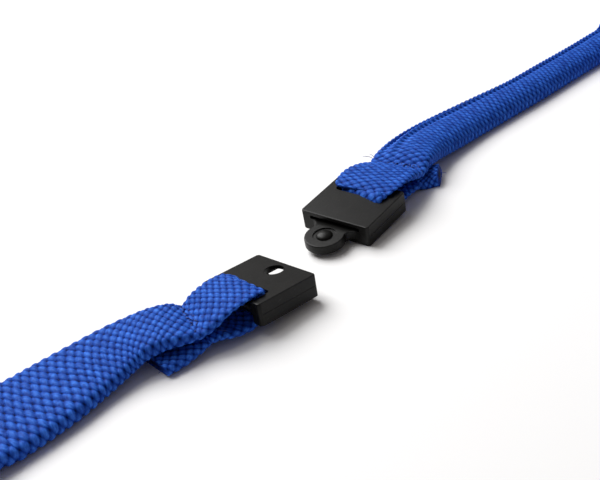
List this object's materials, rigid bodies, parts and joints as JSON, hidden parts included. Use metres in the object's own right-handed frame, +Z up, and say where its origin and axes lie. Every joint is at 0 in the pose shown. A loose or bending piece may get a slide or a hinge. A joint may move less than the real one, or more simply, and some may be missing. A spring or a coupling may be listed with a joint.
{
  "type": "breakaway neck lanyard",
  "caption": "Flat braided neck lanyard, lying with its two-piece plastic breakaway clasp open; the strap's ends share a crimp and swivel snap hook.",
  "frame": {"origin": "on the surface the lanyard lies on, under the middle of the two clasp halves", "axes": "+X from the socket half to the tongue half, +Z up"},
  "size_m": [0.3004, 0.1193, 0.016],
  "materials": {
    "clasp_plastic": "fine satin",
    "strap_braid": "braided polyester",
    "sewing_thread": "sewn thread",
    "plated_metal": "nickel plated",
    "spring_wire": "drawn wire",
    "tie_tape": "hook-and-loop tape"
  },
  "bodies": {
    "strap": {"left_strap_fold": "strap_braid", "left_bar_tack": "sewing_thread", "left_strap_tail": "strap_braid", "left_strap_run": "strap_braid", "right_strap_far": "strap_braid", "strap_coil": "strap_braid", "coil_tie": "tie_tape", "strap_ends": "strap_braid", "crimp": "plated_metal", "swivel_socket": "plated_metal"},
    "socket": {"socket_half": "clasp_plastic"},
    "right_strap_end": {"right_strap_fold": "strap_braid", "right_bar_tack": "sewing_thread", "right_strap_tail": "strap_braid", "right_strap_near": "strap_braid"},
    "tongue": {"tongue_half": "clasp_plastic"},
    "hook": {"hook_body": "plated_metal", "gate_pin": "plated_metal", "gate_spring": "spring_wire"},
    "gate": {"gate_lever": "plated_metal"}
  },
  "joints": [
    {"name": "closing_swing", "type": "hinge", "parent": "strap", "child": "right_strap_end", "pos_m": [-0.023, 0.0821, 0], "axis": [0, 0, 1], "range_deg": [-9.09, 0]},
    {"name": "socket_tilt", "type": "hinge", "parent": "strap", "child": "socket", "pos_m": [-0.017, -0.00265, 0.00295], "axis": [-0.625, 0.7806, 0], "range_deg": [-5.69, 0]},
    {"name": "tongue_tilt", "type": "hinge", "parent": "right_strap_end", "child": "tongue", "pos_m": [0.01601, 0.00252, 0.00295], "axis": [0.7407, -0.6718, 0], "range_deg": [-5.69, 0]},
    {"name": "hook_swivel", "type": "hinge", "parent": "strap", "child": "hook", "pos_m": [0.15068, -0.06204, 0.008], "axis": [-0.4067, -0.9135, 0], "continuous": true},
    {"name": "gate_hinge", "type": "hinge", "parent": "hook", "child": "gate", "pos_m": [0.14807, -0.06788, 0.013], "axis": [0.9135, -0.4067, 0], "range_deg": [0, 20], "stiffness_Nm_per_rad": 0.004, "springref_deg": -20.05}
  ],
  "couplings": [
    {"joint": "socket_tilt", "follows": "closing_swing", "ratio": 0.62486},
    {"joint": "tongue_tilt", "follows": "closing_swing", "ratio": 0.62486}
  ]
}
